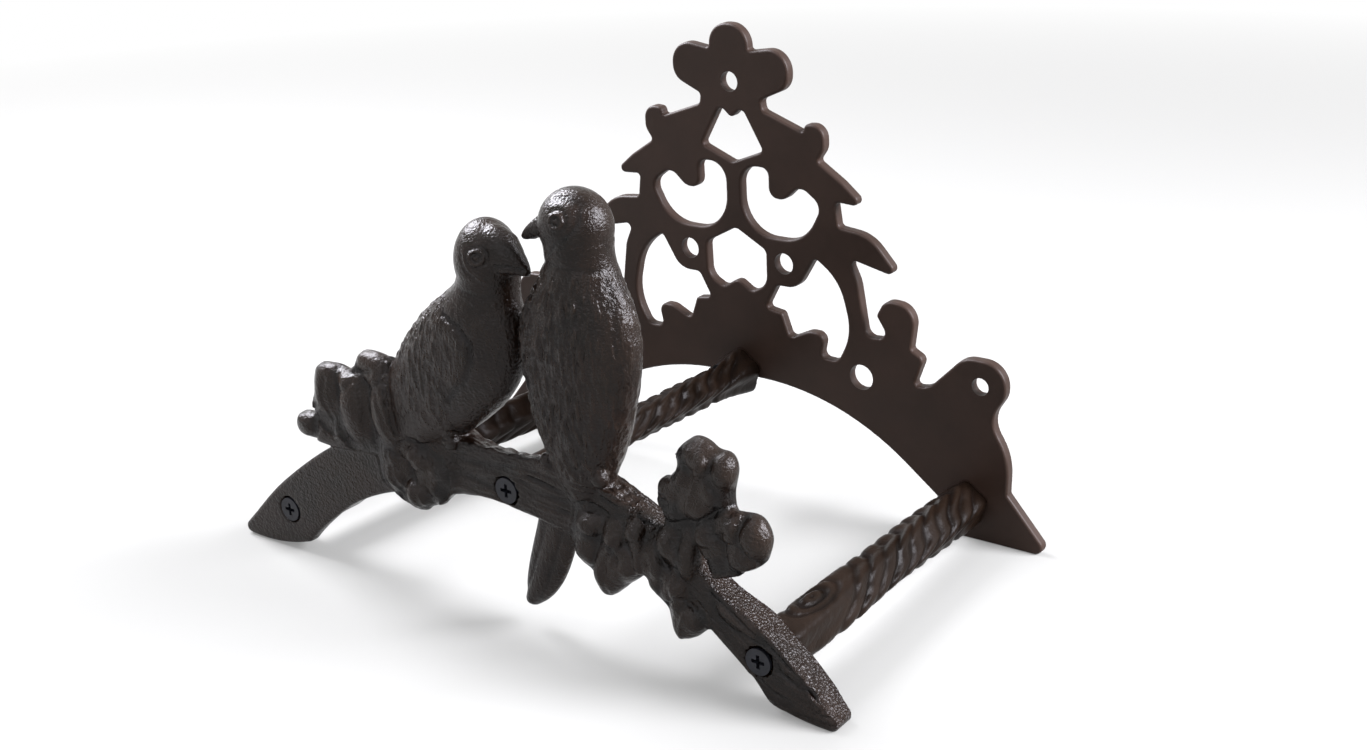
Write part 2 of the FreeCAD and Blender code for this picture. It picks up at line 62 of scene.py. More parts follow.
def makeCamera(view):
    data = bpy.data.cameras.new("photoCamera")
    data.lens = view["lens"]
    data.sensor_width = view["sensor"]
    data.clip_start = 0.01
    camera = bpy.data.objects.new("photoCamera", data)
    turn, tilt, roll = view["turn"], view["tilt"], view["roll"]
    right = Vector((math.cos(turn), math.sin(turn), 0))
    ahead = Vector((-math.sin(turn) * math.cos(tilt), math.cos(turn) * math.cos(tilt), -math.sin(tilt)))
    up = right.cross(ahead)
    rightRolled = right * math.cos(roll) + up * math.sin(roll)
    upRolled = up * math.cos(roll) - right * math.sin(roll)
    turned = Matrix((rightRolled, upRolled, -ahead)).transposed().to_4x4()
    camera.matrix_world = Matrix.Translation(Vector(view["place"]) * mm) @ turned
    scene.collection.objects.link(camera)
    scene.camera = camera


makeCamera(cameraView)
print("camera placed")


# small steps that the shader trees share
def mathNode(nodes, links, operation, a, b):
    node = nodes.new("ShaderNodeMath")
    node.operation = operation
    links.new(a, node.inputs[0])
    links.new(b, node.inputs[1])
    return node.outputs["Value"]


def foldMath(nodes, links, operation, sockets):
    total = sockets[0]
    for socket in sockets[1:]:
        total = mathNode(nodes, links, operation, total, socket)
    return total


def mapRange(nodes, links, source, start=(0.0, 1.0), end=(0.0, 1.0)):
    node = nodes.new("ShaderNodeMapRange")
    for name, value in zip(("From Min", "From Max", "To Min", "To Max"), (*start, *end)):
        node.inputs[name].default_value = value
    links.new(source, node.inputs["Value"])
    return node.outputs["Result"]


def noiseNode(nodes, links, place, values):
    node = nodes.new("ShaderNodeTexNoise")
    for name, value in values.items():
        node.inputs[name].default_value = value
    links.new(place, node.inputs["Vector"])
    return node


def mixShaders(nodes, links, share, first, second, outlet):
    mix = nodes.new("ShaderNodeMixShader")
    links.new(share, mix.inputs["Fac"])
    links.new(first, mix.inputs[1])
    links.new(second, mix.inputs[2])
    links.new(mix.outputs["Shader"], outlet)


# shader groups, each built once and placed in more than one material
def startGroup(name, inputKinds, outputKinds):
    group = bpy.data.node_groups.new(name, "ShaderNodeTree")
    for way, kinds in (("INPUT", inputKinds), ("OUTPUT", outputKinds)):
        for socketName, kind in kinds.items():
            group.interface.new_socket(name=socketName, in_out=way, socket_type="NodeSocket" + kind)
    nodes = group.nodes
    return group, nodes, group.links, nodes.new("NodeGroupInput"), nodes.new("NodeGroupOutput")


def makePaintTone():
    # slow drift between two browns
    inputKinds = {"Dark": "Color", "Light": "Color", "Patch Scale": "Float"}
    outputKinds = {"Colour": "Color", "Patch": "Float"}
    group, nodes, links, inputs, outputs = startGroup("paintTone", inputKinds, outputKinds)
    coords = nodes.new("ShaderNodeTexCoord")
    patches = noiseNode(nodes, links, coords.outputs["Object"], {"Detail": 5.0, "Roughness": 0.6})
    links.new(inputs.outputs["Patch Scale"], patches.inputs["Scale"])
    spread = mapRange(nodes, links, patches.outputs["Fac"], (0.35, 0.65))
    mix = nodes.new("ShaderNodeMix")
    mix.data_type = "RGBA"
    links.new(spread, mix.inputs["Factor"])
    links.new(inputs.outputs["Dark"], mix.inputs["A"])
    links.new(inputs.outputs["Light"], mix.inputs["B"])
    links.new(mix.outputs["Result"], outputs.inputs["Colour"])
    links.new(spread, outputs.inputs["Patch"])
    return group


def makeCastSkin():
    # the pebbled skin that sand casting leaves under the paint, as a height
    inputKinds = {"Pebble Scale": "Float", "Ripple Scale": "Float", "Pebble": "Float"}
    group, nodes, links, inputs, outputs = startGroup("castSkin", inputKinds, {"Height": "Float"})
    coords = nodes.new("ShaderNodeTexCoord")
    pebbles = noiseNode(nodes, links, coords.outputs["Object"], {"Detail": 3.0})
    ripples = noiseNode(nodes, links, coords.outputs["Object"], {"Detail": 2.0})
    links.new(inputs.outputs["Pebble Scale"], pebbles.inputs["Scale"])
    links.new(inputs.outputs["Ripple Scale"], ripples.inputs["Scale"])
    weighed = mathNode(nodes, links, "MULTIPLY", pebbles.outputs["Fac"], inputs.outputs["Pebble"])
    height = mathNode(nodes, links, "ADD", weighed, ripples.outputs["Fac"])
    links.new(height, outputs.inputs["Height"])
    return group


paintTone = makePaintTone()
castSkin = makeCastSkin()
# which entry of a piece's dictionary fills each input
toneInputs = {"Dark": "dark", "Light": "light", "Patch Scale": "patchScale"}
skinInputs = {"Pebble Scale": "pebbleScale", "Ripple Scale": "rippleScale", "Pebble": "pebble"}


def placeGroup(nodes, group, look, keys):
    node = nodes.new("ShaderNodeGroup")
    node.node_tree = group
    for socketName, key in keys.items():
        node.inputs[socketName].default_value = look[key]
    return node


def linkBump(nodes, links, height, shader, distance, strength, below=None):
    # each bump lies on the one below it, and the last one made is the one the shader sees
    bump = nodes.new("ShaderNodeBump")
    bump.inputs["Distance"].default_value = distance
    bump.inputs["Strength"].default_value = strength
    links.new(height, bump.inputs["Height"])
    if below is not None:
        links.new(below.outputs["Normal"], bump.inputs["Normal"])
    links.new(bump.outputs["Normal"], shader.inputs["Normal"])
    return bump


def startMaterial(name, gloss):
    material = bpy.data.materials.new(name)
    material.use_nodes = True
    nodes = material.node_tree.nodes
    shader = nodes["Principled BSDF"]
    shader.inputs["Specular IOR Level"].default_value = gloss
    return material, nodes, material.node_tree.links, shader


def startPaint(name, look):
    # colour, sheen and cast skin, which every coat on the part has
    material, nodes, links, shader = startMaterial(name, look["gloss"])
    tone = placeGroup(nodes, paintTone, look, toneInputs)
    links.new(tone.outputs["Colour"], shader.inputs["Base Color"])
    sheen = mapRange(nodes, links, tone.outputs["Patch"], end=look["roughness"])
    links.new(sheen, shader.inputs["Roughness"])
    skin = placeGroup(nodes, castSkin, look, skinInputs)
    bump = linkBump(nodes, links, skin.outputs["Height"], shader, look["skinDepth"], look["skinStrength"])
    return material, tone.outputs["Colour"], bump


def attributeMask(nodes, name):
    node = nodes.new("ShaderNodeAttribute")
    node.attribute_name = name
    return node.outputs["Fac"]


def blendColour(nodes, links, below, mask, colour, share):
    # lays a colour over the one below where the mask is strong
    mix = nodes.new("ShaderNodeMix")
    mix.data_type = "RGBA"
    links.new(mapRange(nodes, links, mask, end=(0.0, share)), mix.inputs["Factor"])
    links.new(below, mix.inputs["A"])
    mix.inputs["B"].default_value = colour
    return mix.outputs["Result"]


# satin paint of the flat plate; scales say how many of each fit in a metre
platePaint = {
    "dark": (0.0180, 0.0098, 0.0067, 1),
    "light": (0.0265, 0.0148, 0.0106, 1),
    "roughness": (0.44, 0.54),
    "gloss": 0.17,
    "patchScale": 22.0,
    "pebbleScale": 1800.0,
    "rippleScale": 320.0,
    "pebble": 0.5,
    "skinDepth": 0.00006,
    "skinStrength": 0.6,
}

# glossier paint of the cast branch, birds and leaves
castingPaint = {
    "dark": (0.0048, 0.0024, 0.0014, 1),
    "light": (0.0108, 0.0058, 0.0037, 1),
    "hollow": (0.0015, 0.0010, 0.0009, 1),     # painted shade held in the cut lines and hollows
    "wearAndHighlight": (0.018, 0.0115, 0.0080, 1),        # thin worn paint on ridges and feather strokes, lighter also as painted highlight
    "roughness": (0.14, 0.24),
    "gloss": 0.2,
    "patchScale": 60.0,
    "pebbleScale": 1050.0,
    "rippleScale": 480.0,
    "pebble": 1.5,
    "skinDepth": 0.00028,
    "skinStrength": 1.0,
    "grainScale": 1000.0,
    "grainDepth": 0.0006,
    "featherScale": 780.0,
    "featherStretch": (1.0, 1.0, 0.24),
    "featherTurn": (0.0, 0.1, 0.0),
    "featherDepth": 0.0003,
    "barkDepth": 0.0002,
    "wearAndHighlightOnStrokes": 0.7,
    "wearAndHighlightOnRidges": 0.35,
    "paintedShadeInHollows": 0.85,
}

# the arms' paint is darker and duller
armPaint = dict(
    castingPaint,
    dark=(0.0024, 0.0012, 0.0006, 1),
    light=(0.0060, 0.0033, 0.0020, 1),
    roughness=(0.30, 0.42),
    gloss=0.06,
    skinDepth=0.00006,
)


def makeCastingPaint(name, look):
    material, colour, under = startPaint(name, look)
    nodes, links = material.node_tree.nodes, material.node_tree.links
    shader = nodes["Principled BSDF"]
    coords = nodes.new("ShaderNodeTexCoord")
    grains = nodes.new("ShaderNodeTexVoronoi")
    grains.inputs["Scale"].default_value = look["grainScale"]
    links.new(coords.outputs["Object"], grains.inputs["Vector"])
    grainMask = attributeMask(nodes, "grainMask")
    grainHeight = mathNode(nodes, links, "MULTIPLY", grains.outputs["Distance"], grainMask)
    under = linkBump(nodes, links, grainHeight, shader, look["grainDepth"], 1.0, under)

    stretch = nodes.new("ShaderNodeMapping")
    stretch.inputs["Scale"].default_value = look["featherStretch"]
    stretch.inputs["Rotation"].default_value = look["featherTurn"]
    links.new(coords.outputs["Object"], stretch.inputs["Vector"])
    values = {"Scale": look["featherScale"], "Detail": 1.5, "Distortion": 0.3}
    feathers = noiseNode(nodes, links, stretch.outputs["Vector"], values)
    strokes = mapRange(nodes, links, feathers.outputs["Fac"], (0.5, 0.66))
    featherMask = attributeMask(nodes, "featherMask")
    featherHeight = mathNode(nodes, links, "MULTIPLY", strokes, featherMask)
    under = linkBump(nodes, links, featherHeight, shader, look["featherDepth"], 0.8, under)

    # the bark's texture follows the branch, by distances held in the mesh
    barkPlace = nodes.new("ShaderNodeCombineXYZ")
    links.new(attributeMask(nodes, "barkAlong"), barkPlace.inputs["X"])
    links.new(attributeMask(nodes, "barkAcross"), barkPlace.inputs["Y"])
    values = {"Scale": 1.0, "Detail": 4.0, "Distortion": 0.8}
    barkGrain = noiseNode(nodes, links, barkPlace.outputs["Vector"], values)
    barkMask = attributeMask(nodes, "barkMask")
    barkHeight = mathNode(nodes, links, "MULTIPLY", barkGrain.outputs["Fac"], barkMask)
    linkBump(nodes, links, barkHeight, shader, look["barkDepth"], 0.8, under)

    # worn thin paint with painted highlight: a lighter colour on the feather strokes and ridges
    wearAndHighlight = look["wearAndHighlight"]
    colour = blendColour(nodes, links, colour, featherHeight, wearAndHighlight, look["wearAndHighlightOnStrokes"])
    ridgeWearAndHighlightMask = attributeMask(nodes, "ridgeWearAndHighlightMask")
    colour = blendColour(nodes, links, colour, ridgeWearAndHighlightMask, wearAndHighlight, look["wearAndHighlightOnRidges"])
    # painted shade: a darker colour laid into the cut lines and hollows
    paintedShadeMask = attributeMask(nodes, "paintedShadeMask")
    colour = blendColour(nodes, links, colour, paintedShadeMask, look["hollow"], look["paintedShadeInHollows"])
    links.new(colour, shader.inputs["Base Color"])
    return material


# blackened steel of the screws
screwSteel = {
    "dark": (0.0075, 0.008, 0.011, 1),
    "light": (0.015, 0.016, 0.021, 1),
    "rim": (0.003, 0.003, 0.004, 1),    # painted shade in the gap round the head
    "roughness": (0.32, 0.44),
    "gloss": 0.25,
    "patchScale": 300.0,
    "pebbleScale": 3000.0,
    "rippleScale": 900.0,
    "pebble": 0.6,
    "skinDepth": 0.00003,
    "skinStrength": 0.5,
    "heads": [(-109.8, 12.8), (6.4, 48.4), (109.8, 12.8)],
    "brightRadius": 4.75,
    "rimWidth": 0.35,
    "headDepth": 1.0,                   # how far a head's flat part reaches behind the branch's face
    "slot": "dark_steel",
}


def makeScrewSteel(look):
    material, colour = startPaint("blackScrewSteel", look)[:2]
    nodes, links = material.node_tree.nodes, material.node_tree.links
    coords = nodes.new("ShaderNodeTexCoord")
    flat = nodes.new("ShaderNodeVectorMath")
    flat.operation = "MULTIPLY"
    flat.inputs[1].default_value = (1, 0, 1)
    links.new(coords.outputs["Object"], flat.inputs[0])
    gaps = []
    for x, h in look["heads"]:
        gap = nodes.new("ShaderNodeVectorMath")
        gap.operation = "DISTANCE"
        gap.inputs[1].default_value = (x * mm, 0, (h - topHoleHeight) * mm)
        links.new(flat.outputs["Vector"], gap.inputs[0])
        gaps.append(gap.outputs["Value"])
    nearest = foldMath(nodes, links, "MINIMUM", gaps)
    reach = look["brightRadius"]
    # painted shade: a dark ring laid round each head
    rim = mapRange(nodes, links, nearest, (reach * mm, (reach + look["rimWidth"]) * mm))
    colour = blendColour(nodes, links, colour, rim, look["rim"], 1.0)
    links.new(colour, nodes["Principled BSDF"].inputs["Base Color"])
    return material


platePaintMaterial = startPaint("satinPlatePaint", platePaint)[0]
castingPaintMaterial = makeCastingPaint("glossCastingPaint", castingPaint)
armPaintMaterial = makeCastingPaint("dullArmPaint", armPaint)
screwSteelMaterial = makeScrewSteel(screwSteel)
print("materials made")


def dressNode(name, material):
    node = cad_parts[name]
    node.data.materials.clear()
    node.data.materials.append(material)


dressNode("back_plate", platePaintMaterial)
dressNode("rear_screws", screwSteelMaterial)


def mergedCopy(nodeName, pieceName):
    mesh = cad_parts[nodeName].data.copy()
    mesh.name = pieceName
    work = bmesh.new()
    work.from_mesh(mesh)
    bmesh.ops.remove_doubles(work, verts=work.verts, dist=0.000002)
    work.to_mesh(mesh)
    work.free()
    mesh.materials.clear()
    piece = bpy.data.objects.new(pieceName, mesh)
    scene.collection.objects.link(piece)
    return piece


def makeFrontScrews(look):
    # each head ends just short of its seat, so a dark gap shows round it
    piece = mergedCopy("front_screws", "front_screw_heads")
    for vert in piece.data.vertices:
        x, y, h = vert.co.x / mm, vert.co.y / mm, vert.co.z / mm + topHoleHeight
        if y > branchFront + look["headDepth"]:
            continue
        middle = min(look["heads"], key=lambda m: math.hypot(x - m[0], h - m[1]))
        away = math.hypot(x - middle[0], h - middle[1])
        if away > look["brightRadius"]:
            share = look["brightRadius"] / away
            vert.co.x = (middle[0] + (x - middle[0]) * share) * mm
            vert.co.z = (middle[1] + (h - middle[1]) * share - topHoleHeight) * mm
    piece.data.update()
    finishPiece(piece, "front_screws", screwSteelMaterial, False)


def takeModifiers(piece):
    bpy.context.view_layer.update()
    graph = bpy.context.evaluated_depsgraph_get()
    mesh = bpy.data.meshes.new_from_object(piece.evaluated_get(graph))
    mesh.name = piece.name
    old = piece.data
    piece.modifiers.clear()
    piece.data = mesh
    bpy.data.meshes.remove(old)


def sculptBase(nodeName, pieceName, voxel, blendSteps):
    # an even skin over the casting, its joins softened as the mould softens them
    piece = mergedCopy(nodeName, pieceName)
    remesh = piece.modifiers.new("evenSkin", "REMESH")
    remesh.mode = "VOXEL"
    remesh.voxel_size = voxel * mm
    remesh.use_smooth_shade = True
    soften = piece.modifiers.new("softJoins", "SMOOTH")
    soften.factor = 0.5
    soften.iterations = blendSteps
    takeModifiers(piece)
    return piece


def getPlaces(piece):
    places = np.empty(len(piece.data.vertices) * 3)
    piece.data.vertices.foreach_get("co", places)
    return places.reshape(-1, 3)


def setPlaces(piece, nodeName, places):
    # never out of the casting's own box
    low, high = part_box(nodeName)
    places = np.clip(places, np.array(low), np.array(high))
    piece.data.vertices.foreach_set("co", places.ravel())
    piece.data.update()


def readSurface(piece):
    # places in mm, with heights over the front tips, and the normals there
    places = getPlaces(piece) / mm
    places[:, 2] += topHoleHeight
    normals = np.empty(len(places) * 3)
    piece.data.vertex_normals.foreach_get("vector", normals)
    return places, normals.reshape(-1, 3)


def pushSurface(piece, nodeName, normals, push):
    setPlaces(piece, nodeName, getPlaces(piece) + normals * push[:, None] * mm)


def setMask(piece, name, values):
    attribute = piece.data.attributes.new(name, "FLOAT", "POINT")
    attribute.data.foreach_set("value", values.astype(np.float32))


def grainNoise(u, v, w):
    return np.array([noise.noise(Vector(p)) for p in zip(u, v, w)])


def ridgeNoise(u, v, w, rise):
    return np.abs(grainNoise(u, v, w)) ** 0.7 * rise - 0.5


def finishPiece(piece, nodeName, material, smooth=True):
    piece.data.materials.clear()
    piece.data.materials.append(material)
    for polygon in piece.data.polygons:
        polygon.use_smooth = smooth
    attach(piece, "root")
    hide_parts(nodeName)
    print(piece.name, "triangles", sum(len(p.vertices) - 2 for p in piece.data.polygons))


makeFrontScrews(screwSteel)


# the cast branch with its birds and leaves
branchLook = {
    "voxel": 0.55,
    "blendSteps": 3,
    "keepTriangles": 190000,
    "leafSoftening": 34,      # smoothing steps over all leaves
    "crownSoftening": 45,     # more steps on the left cluster's upper ends
    "crownFrom": (-40.0, 56.0),
    "topFall": 4.2,           # mm that the upper edge falls to the back, between the birds
    "strokeDepth": (1.4, 0.8),    # right and left bird; depths are in mm
    "ribDepth": 0.12,
    "veinShare": 0.8,
    "leafGrainDepth": 0.25,
    "barkDepth": 0.7,
    "sandDepth": 0.16,
    "topBarkDepth": 1.1,
    "quillDepth": 0.7,
    "birdEdge": 1.14,         # how near an oval's rim still counts as bird
    "rightFoot": 62.0,
    "leftFoot": 60.0,
    "overLeftHead": 147.0,
    "billsFrom": 118.0,
    "topEdge": [
        (-141.6, -3.2), (-117.8, 19.5), (-89.1, 40.9), (-72.0, 50.6), (-50.0, 59.2), (-25.0, 63.4),
        (4.0, 62.6), (28.0, 63.4), (48.8, 59.6), (66.5, 51.6), (82.0, 42.5), (96.5, 31.4), (109.4, 25.7),
        (117.7, 19.2), (125.6, 12.4), (131.6, 6.0), (145.4, -4.0),
    ],
    "arch": [
        (-119.0, -3.6), (-100.8, 0.8), (-76.6, 21.4), (-47.5, 34.8), (-20.4, 40.4), (-0.4, 42.9),
        (20.8, 40.2), (42.0, 37.2), (66.0, 31.6), (80.0, 26.6), (92.6, 18.6), (104.2, 9.2), (112.4, -1.2),
    ],
    # each bird's middle, height, half width and half depth
    "rightBird": [
        (39.4, 48.0, 8.0, 5.5), (40.0, 62.0, 11.2, 9.0), (40.0, 76.0, 17.3, 11.6),
        (40.2, 90.0, 21.3, 12.6), (41.0, 104.0, 23.4, 12.8), (41.8, 116.0, 22.2, 12.4),
        (43.2, 126.0, 17.2, 11.4), (43.6, 134.0, 12.9, 10.7), (43.4, 160.0, 13.5, 11.2),
    ],
    "leftBird": [
        (-42.1, 56.0, 15.0, 6.5), (-32.6, 66.0, 21.5, 9.5), (-22.7, 78.0, 26.6, 11.8),
        (-14.7, 90.0, 27.5, 12.8), (-8.4, 102.0, 24.3, 12.6), (-4.2, 110.0, 20.4, 11.8),
        (-0.6, 117.0, 14.6, 10.8), (2.6, 123.0, 11.6, 10.4), (3.2, 146.0, 12.0, 11.2),
    ],
    "rightFeatherTop": 135.0,
    "leftFeatherTop": 119.5,
    "wingEdge": [(81.0, -10.6), (89.0, -2.3), (97.0, 1.8), (103.0, 2.1), (108.0, -2.0), (112.0, -9.0)],
    "eyes": [(43.8, 151.5), (7.7, 134.0)],
    "eyeRings": [(0.35, 2.3, 0.5), (-0.55, 1.3, 0.45), (-0.3, 3.3, 0.6)],  # height, radius and width
    "tail": [(4.4, 9.2), (16.0, 16.2), (34.0, 23.6), (48.0, 28.0)],        # height and middle
    "tailHalfWidth": 9.5,
    "tailRight": 34.0,
    "sandFrom": 60.0,
    "topBarkFrom": -40.0,
    # each lobe's middle, half width, half length and lean
    "lobes": [
        (93, 82, 6.8, 6.8, 0), (101, 78.5, 5.8, 7.5, 15), (79, 67.5, 5, 5, 0), (89, 68, 7.5, 8.5, 10),
        (111.5, 57.5, 7, 8, 10), (102.8, 60, 5.8, 6.8, 10), (93.5, 51, 6.8, 6, 0), (106, 50, 6, 4.8, 30),
        (45.2, 46.8, 6, 4.5, 0), (55, 45.5, 5.4, 5.2, 0), (64.4, 49.6, 5.4, 5.4, 0),
        (50.7, 30.5, 6.6, 10, 0), (42.6, 36, 4.6, 7, -20), (67.5, 38, 6.6, 9.5, -10),
        (77.5, 47, 4.8, 7.5, -10), (79, 31, 5.6, 7.6, 0), (83, 19.5, 6, 6.5, 0), (59.8, 34, 4.8, 7.5, 0),
        (86, 43, 4.6, 10.5, 0), (-77.4, 69.5, 6.4, 10.5, 0), (-52.5, 83, 7.5, 6.2, 10),
        (-61.5, 66, 7.8, 13, 0), (-44, 67.5, 7.2, 13, -5), (-92.5, 53, 5.4, 4.4, -60),
        (-66.5, 76, 5.6, 5, 0), (-45, 46, 7, 6.8, -30), (-30.5, 47.5, 7, 7.4, 0), (-36, 38.6, 6.4, 5.4, 0),
        (-38.1, 54, 6.4, 4.2, 0),
    ],
    "lobeRise": 1.5,
    "creaseDepth": 0.15,
    "leafEdge": 1.7,
    # listed lines, cut or raised: width, height over the skin, and the line they follow
    "barkLines": [
        (1.0, -0.8, [
            (92.3, 32.8), (99.8, 28.4), (107.8, 23.3), (115.6, 18.6), (121.8, 14.1), (131.2, 6.3),
        ]),
        (2.3, 0.9, [(96.5, 27.7), (101.9, 25.1), (107.8, 23.3)]),
        (0.9, -0.7, [(93.3, 28.8), (95.8, 24.4), (100.6, 21.7), (106.0, 21.0), (111.9, 19.2)]),
        (1.5, 0.5, [(89.2, 27.4), (93.6, 19.6), (100.9, 12.8), (105.8, 8.2)]),
        (0.7, -0.5, [(109.5, 7.2), (113.4, 4.6), (117.7, 2.6), (123.0, 1.2)]),
        (0.9, -0.7, [(114.5, 16.2), (118.0, 12.2), (122.2, 10.0), (126.4, 8.0), (130.2, 6.7)]),
        (1.2, 0.5, [(119.7, 14.3), (123.9, 12.0), (127.7, 9.7)]),
        (0.9, -0.6, [(13.6, 53.7), (21.6, 51.3), (30.8, 50.9), (39.6, 50.5)]),
        (0.9, -0.6, [(17.1, 56.6), (25.1, 55.1), (33.1, 53.6)]),
        (0.9, -0.6, [(18.3, 49.2), (26.4, 48.2), (34.4, 46.3)]),
        (0.9, -0.6, [(49.1, 55.8), (55.7, 54.1), (63.9, 53.8), (69.3, 50.2)]),
        (0.9, -0.6, [(44.3, 53.1), (52.5, 50.8), (64.4, 51.9), (72.4, 50.4)]),
        (1.4, 0.6, [(40.0, 55.3), (42.2, 50.1), (41.2, 46.0)]),
        (1.0, -0.5, [(-24.0, 58.5), (-12.0, 56.0), (0.0, 56.5), (10.0, 58.5)]),
        (0.9, -0.5, [(-14.0, 50.5), (-2.0, 48.6), (10.0, 47.6)]),
    ],
    "leafLines": [
        (0.9, 0.7, [(94.6, 80.0), (90.0, 72.1), (88.0, 67.2), (86.2, 60.0)]),
        (1.4, -0.9, [(96.5, 80.2), (97.4, 75.0)]),
        (1.4, -0.8, [(87.7, 80.5), (87.9, 73.1), (85.3, 68.9)]),
        (0.9, -1.2, [(78.1, 54.4), (89.8, 58.1), (95.3, 61.7), (101.6, 65.6)]),
        (0.9, -1.0, [(88.3, 55.7), (88.7, 51.3), (87.4, 43.0), (89.8, 37.0)]),
        (0.8, -0.8, [(88.0, 43.2), (97.8, 47.7)]),
        (1.1, -0.9, [(93.3, 55.1), (98.0, 55.7), (102.5, 58.4)]),
        (1.1, -0.9, [(106.9, 63.1), (105.6, 58.6), (107.8, 53.3)]),
        (0.9, -0.7, [(56.7, 43.3), (50.9, 34.1), (50.0, 21.5)]),
        (0.9, 0.4, [(53.2, 38.9), (54.1, 33.4), (59.7, 32.1), (64.7, 33.4)]),
        (0.9, -0.7, [(48.5, 45.4), (47.9, 38.4), (43.6, 29.1)]),
        (1.0, -0.7, [(60.5, 50.1), (59.0, 43.0), (63.4, 38.0)]),
        (1.0, -1.1, [(68.5, 49.9), (67.6, 43.8), (65.8, 38.6), (67.0, 31.0)]),
        (0.9, -0.8, [(72.1, 48.1), (73.3, 41.9), (78.2, 36.9), (76.8, 27.6)]),
        (0.9, -0.6, [(79.5, 49.4), (83.7, 43.9), (80.6, 34.1)]),
        (0.9, -1.0, [(75.2, 24.6), (80.0, 28.8), (82.7, 28.0), (86.7, 26.0)]),
        (0.9, 0.6, [(84.1, 25.2), (81.7, 20.3), (80.2, 13.6)]),
        (1.1, -0.7, [(-70.4, 77.3), (-71.3, 68.6), (-66.9, 62.6), (-65.0, 54.5)]),
        (1.1, -0.6, [(-51.5, 81.6), (-52.6, 75.3), (-54.0, 66.0), (-55.9, 54.0)]),
        (0.9, -0.6, [(-47.5, 75.3), (-44.2, 67.1), (-43.0, 59.0)]),
        (0.9, 0.4, [(-60.6, 75.2), (-58.8, 67.9), (-60.1, 56.0)]),
        (1.0, -0.9, [(-67.6, 78.2), (-59.5, 80.1), (-52.6, 81.7)]),
        (0.9, -0.5, [(-77.3, 74.4), (-78.0, 66.1), (-75.5, 58.4)]),
        (0.9, -0.7, [(-37.8, 56.2), (-37.3, 47.2), (-34.4, 40.6), (-33.6, 34.3)]),
        (0.9, -0.6, [(-29.3, 54.0), (-23.9, 49.4), (-24.8, 41.6)]),
        (0.9, -0.6, [(-47.2, 51.2), (-45.3, 43.2), (-42.5, 36.7)]),
    ],
    "birdLines": [
        (0.7, 0.45, [(2.5, 135.2), (3.0, 132.5), (4.6, 130.1), (7.0, 127.8), (9.4, 125.9)]),
        (0.9, -0.35, [(1.9, 134.2), (2.7, 131.5), (4.0, 129.3), (6.1, 127.3)]),
        (0.7, -0.7, [(13.0, 131.0), (16.6, 131.5), (18.6, 130.9), (21.6, 130.0)]),
        (1.1, 0.35, [(14.4, 129.6), (18.4, 129.1), (20.6, 128.6)]),
        (0.9, -0.45, [(46.9, 146.5), (49.4, 148.6), (50.6, 150.8), (50.1, 154.6)]),
        (0.9, -0.4, [(40.4, 157.3), (44.4, 157.8), (47.3, 157.3), (50.3, 156.1)]),
        (0.9, -0.4, [(46.9, 146.0), (42.5, 143.1), (39.4, 139.2)]),
        (1.0, -0.35, [(31.0, 135.6), (38.0, 136.6), (44.7, 136.4), (51.4, 135.4), (57.0, 135.0)]),
        (1.0, -0.35, [(-9.0, 121.0), (-2.7, 122.3), (2.1, 121.4), (6.3, 120.4), (11.0, 120.2)]),
        (1.3, -0.8, [(-9.0, 111.9), (-2.0, 108.6), (2.1, 103.4), (1.9, 97.2), (-2.3, 89.1), (-10.6, 81.2)]),
        (3.2, 0.6, [(-12.7, 109.5), (-4.5, 106.0), (-1.8, 101.9), (-2.2, 96.0), (-6.2, 89.2)]),
        (1.4, -0.35, [(56.9, 132.2), (57.9, 128.5), (59.4, 124.5), (61.0, 117.0), (61.2, 104.0)]),
    ],
}


def alongCurve(curve, x):
    return np.interp(x, [p[0] for p in curve], [p[1] for p in curve])


def birdFit(rows, places):
    # centre, half width and half depth at each height, and how near a place is to that oval
    heights = [r[1] for r in rows]
    centre = np.interp(places[:, 2], heights, [r[0] for r in rows])
    width = np.interp(places[:, 2], heights, [r[2] for r in rows])
    depth = np.interp(places[:, 2], heights, [r[3] for r in rows])
    across = (places[:, 0] - centre) / width
    inward = (places[:, 1] - (branchFront + 5.0)) / depth
    return across, np.hypot(across, inward)


def lineRelief(lines, x, h, spread=1.0):
    # each line's own hollow or ridge, fading out towards its two ends
    relief = np.zeros(len(x))
    for width, height, points in lines:
        nearest = np.full(len(x), 99.0)
        for i in range(len(points) - 1):
            startX, startH = points[i]
            runX, runH = points[i + 1][0] - startX, points[i + 1][1] - startH
            part = ((x - startX) * runX + (h - startH) * runH) / (runX ** 2 + runH ** 2)
            part = np.clip(part, 0, 1)
            gap = np.hypot(x - startX - runX * part, h - startH - runH * part)
            nearest = np.minimum(nearest, gap)
        relief += height * np.exp(-((nearest / (width * spread)) ** 2))
    return relief


def ring(away, radius, width):
    return np.exp(-(((away - radius) / width) ** 2))


def headRelief(look, places, isBird, onFace):
    # bill lines, wing edge, neck creases and the rings round the eyes
    x, h = places[:, 0], places[:, 2]
    isBill = (h > look["billsFrom"]) & ~isBird  # the bills reach out of the ovals
    relief = lineRelief(look["birdLines"], x, h) * (isBird | isBill) * onFace
    for eyeX, eyeH in look["eyes"]:
        away = np.hypot(x - eyeX, h - eyeH)
        rings = np.zeros(len(x))
        for height, radius, width in look["eyeRings"]:
            rings += height * ring(away, radius, width)
        relief += rings * onFace
    return relief


